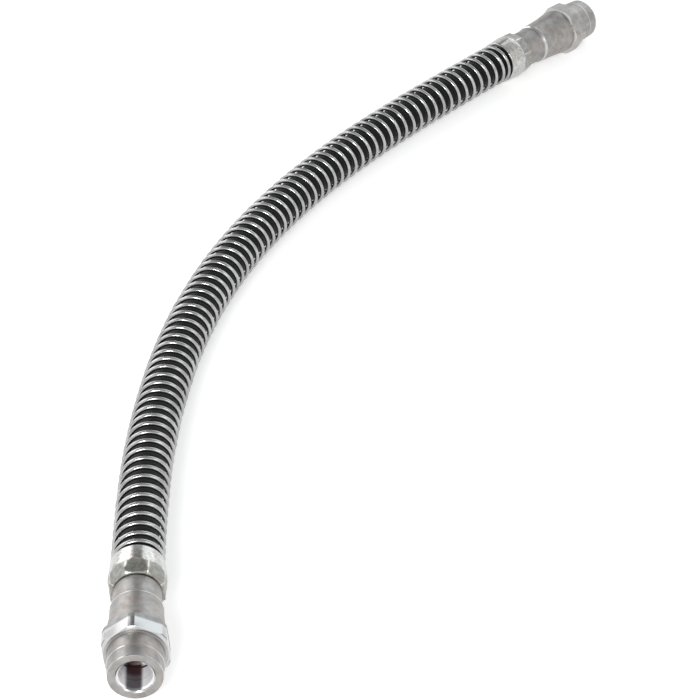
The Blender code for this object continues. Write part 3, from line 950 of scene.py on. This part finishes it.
def bar(name, turn):
    """A hexagonal bar with softly rounded corners. At turn 0 a corner faces up."""
    corner = HEX_FLATS / 2 / cos(pi / 6)
    maker = bmesh.new()
    bmesh.ops.create_cone(
        maker, cap_ends=True, segments=6, radius1=corner, radius2=corner, depth=2 * BAR_REACH
    )
    upright = Matrix.Rotation(turn + pi / 2, 3, "Z")
    bmesh.ops.rotate(maker, verts=maker.verts, cent=(0, 0, 0), matrix=upright)
    long_edges = [edge for edge in maker.edges if edge.calc_length() > BAR_REACH]
    bmesh.ops.bevel(maker, geom=long_edges, offset=BAR_EDGE_ROUND, segments=3, affect="EDGES")
    return object_from(maker, name)


def apply_modifiers(piece):
    """Replace the mesh with the result of its modifiers."""
    result = bpy.data.meshes.new_from_object(piece.evaluated_get(bpy.context.evaluated_depsgraph_get()))
    piece.modifiers.clear()
    piece.data = result


print("hexagonal bar: %.1f mm across flats" % (HEX_FLATS * 1000))

# %% [markdown]
# Now both fittings are made. After the cut, the faces that lie on the hexagon's flats are found by
# where they stand and how they face, and they get the finish that the spanner has polished.

# %% The end fittings
NEAR_HEX_TURN = radians(5)
FAR_HEX_TURN = radians(30)
SHARP_ANGLE = radians(24)
FLAT_TILT = 0.02
FLAT_SLACK = 0.00003


def make_fitting(name, at, turn, place, body, flats):
    """Turn the fitting, mill its hexagon and set it in its place."""
    fitting = spun(name, rounded_outline(fitting_outline(at)))
    stock = bar(name + "_stock", turn)
    milled = fitting.modifiers.new("milled", "BOOLEAN")
    milled.operation = "INTERSECT"
    milled.solver = "EXACT"
    milled.object = stock
    apply_modifiers(fitting)
    bpy.data.objects.remove(stock, do_unlink=True)
    fitting.data.shade_smooth()
    fitting.data.set_sharp_from_angle(angle=SHARP_ANGLE)
    fitting.data.materials.clear()
    fitting.data.materials.append(body)
    fitting.data.materials.append(flats)
    for face in fitting.data.polygons:
        from_axis = face.center.dot(face.normal)
        on_flat = abs(face.normal.z) < FLAT_TILT and from_axis > HEX_FLATS / 2 - FLAT_SLACK
        face.material_index = 1 if on_flat else 0
    fitting.matrix_world = place
    report(fitting)
    return fitting


near_fitting = make_fitting("turned_near_fitting", near_at, NEAR_HEX_TURN, near_place,
                            near_zinc, near_flats_zinc)
far_fitting = make_fitting("turned_far_fitting", far_at, FAR_HEX_TURN, far_place,
                           far_zinc, far_flats_zinc)

# %% [markdown]
# The ferrule is a sleeve that a press has squeezed onto the hose with eight jaws. Before the press it
# is a plain turned piece, so it starts as an outline too: from its mouth forward over the bulge to the
# front wall, which hooks behind the collar, and back along its bore. The zone that the jaws reach gets
# many rings, so that they can leave their marks in it.

# %% The outline of a ferrule
FERRULE_BORE_RADIUS = 0.0057
FERRULE_HOOK_RADIUS = 0.0044
FERRULE_MOUTH_RADIUS = 0.00765
FERRULE_MOUTH_LIP = 0.0002
FERRULE_MOUTH_SLOPE = 0.0003
BULGE_RADIUS = 0.00805
BULGE_LENGTH = 0.0014
CRIMP_LENGTH = 0.0047
CRIMP_RAMP = 0.0004
CRIMP_RING_GAP = 0.0004
CRIMP_RINGS = 9
FERRULE_FRONT_RADIUS = 0.0069
FERRULE_FRONT_EDGE = 0.0007


def ferrule_outline():
    """Corners of the sleeve as (radius, height, round)."""
    mouth = FERRULE_FRONT - FERRULE_LENGTH
    crimp = FERRULE_FRONT - CRIMP_LENGTH
    crimped = [(BULGE_RADIUS, crimp + step * CRIMP_RING_GAP, 0.0) for step in range(CRIMP_RINGS + 1)]
    return [
        (FERRULE_BORE_RADIUS, mouth, EDGE_ROUND),
        (FERRULE_MOUTH_RADIUS - FERRULE_MOUTH_LIP, mouth, 1.5 * EDGE_ROUND),
        (FERRULE_MOUTH_RADIUS, mouth + FERRULE_MOUTH_SLOPE, 2 * EDGE_ROUND),
        (BULGE_RADIUS, crimp - BULGE_LENGTH, 8 * EDGE_ROUND),
        (BULGE_RADIUS, crimp - CRIMP_RAMP, 0.0),
        (BULGE_RADIUS, crimp - CRIMP_RAMP / 2, 0.0),
        *crimped,
        (BULGE_RADIUS, FERRULE_FRONT - FERRULE_FRONT_EDGE, 2 * EDGE_ROUND),
        (FERRULE_FRONT_RADIUS, FERRULE_FRONT, 3 * EDGE_ROUND),
        (FERRULE_HOOK_RADIUS, FERRULE_FRONT, EDGE_ROUND),
        (FERRULE_HOOK_RADIUS, COLLAR_ROOM, EDGE_ROUND),
        (FERRULE_BORE_RADIUS, COLLAR_ROOM, EDGE_ROUND),
    ]


print("corners of a ferrule:", len(ferrule_outline()))

# %% [markdown]
# Each jaw leaves a slanted flat, and the steel that is pushed aside stands up as a narrow ridge between
# two jaws. The rest of the sleeve stays round and tapers to its mouth. Cutting the flats with a tool
# would lose the ridges, so the radius itself follows the jaws where they bit. The squeezed faces take
# the duller finish, and the ridges keep the sleeve's bright one.

# %% The crimped ferrules
JAWS = 8
JAW_SECTOR = 2 * pi / JAWS
JAW_FRONT_RADIUS = 0.0073
JAW_REAR_RADIUS = 0.00785
RIDGE_REACH = radians(3.8)
RIDGE_HEIGHT = 0.00012
INNER_LIMIT = FERRULE_FRONT_RADIUS + 0.0001


def jaw_shape(angle, radius, z):
    """Radius of the sleeve where the jaws have pressed it."""
    if radius < INNER_LIMIT:
        return radius
    off_middle = (angle + JAW_SECTOR / 2) % JAW_SECTOR - JAW_SECTOR / 2
    slant = (FERRULE_FRONT - FERRULE_FRONT_EDGE - z) / (CRIMP_LENGTH - FERRULE_FRONT_EDGE)
    flat_radius = JAW_FRONT_RADIUS + (JAW_REAR_RADIUS - JAW_FRONT_RADIUS) * slant
    flat = flat_radius / cos(off_middle)
    ridge = max(0.0, 1 - abs(abs(off_middle) - JAW_SECTOR / 2) / RIDGE_REACH)
    pressed = min(radius, flat + RIDGE_HEIGHT * ridge)
    bite = float(smoothstep((z - (FERRULE_FRONT - CRIMP_LENGTH - CRIMP_RAMP)) / CRIMP_RAMP))
    return radius * (1 - bite) + pressed * bite


def make_ferrule(name, place):
    """Form the sleeve and set it in its place."""
    ferrule = spun(name, rounded_outline(ferrule_outline()), jaw_shape)
    ferrule.data.set_sharp_from_angle(angle=radians(30))
    ferrule.data.materials.append(sleeve_zinc)
    ferrule.data.materials.append(pressed_zinc)
    for face in ferrule.data.polygons:
        past_ridge = (atan2(face.center.y, face.center.x) - JAW_SECTOR / 2) % JAW_SECTOR
        in_crimp = face.center.z > FERRULE_FRONT - CRIMP_LENGTH
        face.material_index = 1 if in_crimp and past_ridge < JAW_SECTOR - RIDGE_REACH else 0
    ferrule.matrix_world = place
    report(ferrule)
    return ferrule


near_ferrule = make_ferrule("pressed_near_ferrule", near_place)
far_ferrule = make_ferrule("pressed_far_ferrule", far_place)

# %% [markdown]
# Each new piece is attached to the root body, which it moves with, and the plain solid that it stands
# for is hidden.

for piece, node, slot_name in (
    (hose, "hose_cover", "black_rubber"),
    (spring, "spring_guard", "bright_wire"),
    (near_fitting, "near_fitting", "zinc_plated_steel"),
    (far_fitting, "far_fitting", "zinc_plated_steel"),
    (near_ferrule, "near_ferrule", "zinc_plated_steel"),
    (far_ferrule, "far_ferrule", "zinc_plated_steel"),
):
    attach(piece, "root")
    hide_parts(node)

# %% [markdown]
# The hose lies on a plain white table. A table that is white under the lamps alone would need so much
# light that the metal burns out. So the table glows, but only for rays from the camera and for
# reflections and glass, which then show clean white too. It takes the hose's shadow like any surface.

# %% The table
BACKGROUND_RAYS = ["Is Camera Ray", "Is Glossy Ray", "Is Transmission Ray"]
TABLE_WHITE = grey(0.92)
TABLE_GLOW = 0.48
TABLE_SIZE = 6.0
TABLE_HEIGHT = -0.0001
PAPER_ROUGHNESS = 0.9


def ray_mask(tree):
    """1 for rays that see the background: from the camera, off gloss and through glass."""
    path = tree.nodes.new("ShaderNodeLightPath")
    mask = path.outputs[BACKGROUND_RAYS[0]]
    for kind in BACKGROUND_RAYS[1:]:
        mask = math_node(tree, "MAXIMUM", mask, path.outputs[kind])
    return mask


def stage_plane(name, width, height, material):
    """A flat stage piece that faces +Z."""
    maker = bmesh.new()
    bmesh.ops.create_grid(maker, x_segments=1, y_segments=1, size=0.5)
    bmesh.ops.scale(maker, verts=maker.verts, vec=(width, height, 1.0))
    plane = object_from(maker, name)
    plane.data.materials.append(material)
    return plane


table_material, table_tree, table_shader = new_material("white_table")
table_shader.inputs["Base Color"].default_value = TABLE_WHITE
table_shader.inputs["Roughness"].default_value = PAPER_ROUGHNESS
table_shader.inputs["Specular IOR Level"].default_value = 0.0
table_shader.inputs["Emission Color"].default_value = grey(1.0)
glow = math_node(table_tree, "MULTIPLY", ray_mask(table_tree), TABLE_GLOW)
table_tree.links.new(glow, table_shader.inputs["Emission Strength"])
table = stage_plane("table", TABLE_SIZE, TABLE_SIZE, table_material)
table.location = (0.0, 0.0, TABLE_HEIGHT)
print("table:", TABLE_SIZE, "m wide")

# %% [markdown]
# The world is the room. It lights the hose evenly at a moderate level. The same rays that see the
# table's glow see the room as white at eye level, and as a grey ceiling overhead. The ceiling matters:
# without something darker above, the top of every turned face would be as white as the table.

# %% The room
WORLD_LEVEL = 0.47
CEILING_LEVEL = 0.50
CEILING_EDGES = (0.62, 0.85)

world = bpy.data.worlds.new("studio")
world.use_nodes = True
world_tree = world.node_tree
room = world_tree.nodes["Background"]
room.inputs["Color"].default_value = grey(1.0)
_, _, room_height = axes(world_tree, "Generated")
ceiling = spread(world_tree, room_height, CEILING_EDGES, (1.0, CEILING_LEVEL))
above_plain = math_node(world_tree, "SUBTRACT", ceiling, WORLD_LEVEL)
seen_level = math_node(world_tree, "MULTIPLY", ray_mask(world_tree), above_plain)
world_tree.links.new(math_node(world_tree, "ADD", seen_level, WORLD_LEVEL), room.inputs["Strength"])
bpy.context.scene.world = world
print("room level:", WORLD_LEVEL, "ceiling:", CEILING_LEVEL)

# %% [markdown]
# What gives bare metal its form is what it mirrors. Beyond the far end stand two bright boxes, and each
# turned piece shows them as two bright bands. The right box is a little blue, which cools the hexagon's
# right flat. Three small lamps only fill in. The places of the boxes are given as directions from the
# near end, because that is where they are seen.

# %% Lamps
NEAR_END = Vector((-0.19, -0.02, 0.01))
MIDDLE = Vector((0.0, 0.0, 0.0))
BOX_SIZE = (0.85, 0.95)
BOX_ASIDE, BOX_RISE, BOX_DISTANCE = 31, 22, 1.5
WHITE_LIGHT = (1.0, 1.0, 1.0)
COOL_LIGHT = (0.82, 0.94, 1.0)


def beyond(azimuth, elevation, distance):
    """Place seen from the near end in a direction given in degrees from the near end's axis."""
    turn = NEAR_HEADING + radians(azimuth)
    rise = radians(elevation)
    way = Vector((cos(rise) * cos(turn), cos(rise) * sin(turn), sin(rise)))
    return NEAR_END + way * distance


def aim_at(thing, place, target):
    """Set a thing at a place with its front (-Z) towards a target."""
    thing.location = place
    thing.rotation_euler = (target - Vector(place)).to_track_quat("-Z", "Y").to_euler()


def lamp(name, place, aim, size, power, colour=WHITE_LIGHT):
    """A soft rectangular lamp; its size is in metres and its power in watts."""
    data = bpy.data.lights.new(name, "AREA")
    data.shape = "RECTANGLE"
    data.size, data.size_y = size
    data.energy = power
    data.color = colour
    thing = bpy.data.objects.new(name, data)
    aim_at(thing, place, aim)
    bpy.context.scene.collection.objects.link(thing)
    print("lamp:", name, "power:", power, "W")


lamp("left_box", beyond(BOX_ASIDE, BOX_RISE, BOX_DISTANCE), aim=NEAR_END, size=BOX_SIZE, power=3.3)
lamp("right_box", beyond(-BOX_ASIDE, BOX_RISE, BOX_DISTANCE), aim=NEAR_END, size=BOX_SIZE, power=2.0,
     colour=COOL_LIGHT)
lamp("left_lamp", (-0.3, 0.9, 0.8), aim=MIDDLE, size=(0.6, 0.6), power=1.6)
lamp("right_lamp", (-0.5, -1.0, 0.7), aim=MIDDLE, size=(0.5, 0.5), power=1.5)
lamp("front_lamp", beyond(165, 35, 0.95), aim=NEAR_END, size=(0.25, 0.25), power=4.4)

# %% [markdown]
# The card hangs higher than the boxes, so that its reflection runs along the top of each turned piece.
# Without it the two bright bands would meet, and the steel would look like white plastic.

# %% The dark card
CARD_GREY = grey(0.30)
CARD_WIDTH, CARD_HEIGHT = 0.50, 0.70

card_material, _, card_shader = new_material("dark_card")
card_shader.inputs["Base Color"].default_value = CARD_GREY
card_shader.inputs["Roughness"].default_value = PAPER_ROUGHNESS
dark_card = stage_plane("dark_card", CARD_WIDTH, CARD_HEIGHT, card_material)
aim_at(dark_card, beyond(0, 38, 1.3), NEAR_END)
print("card:", dark_card.name)
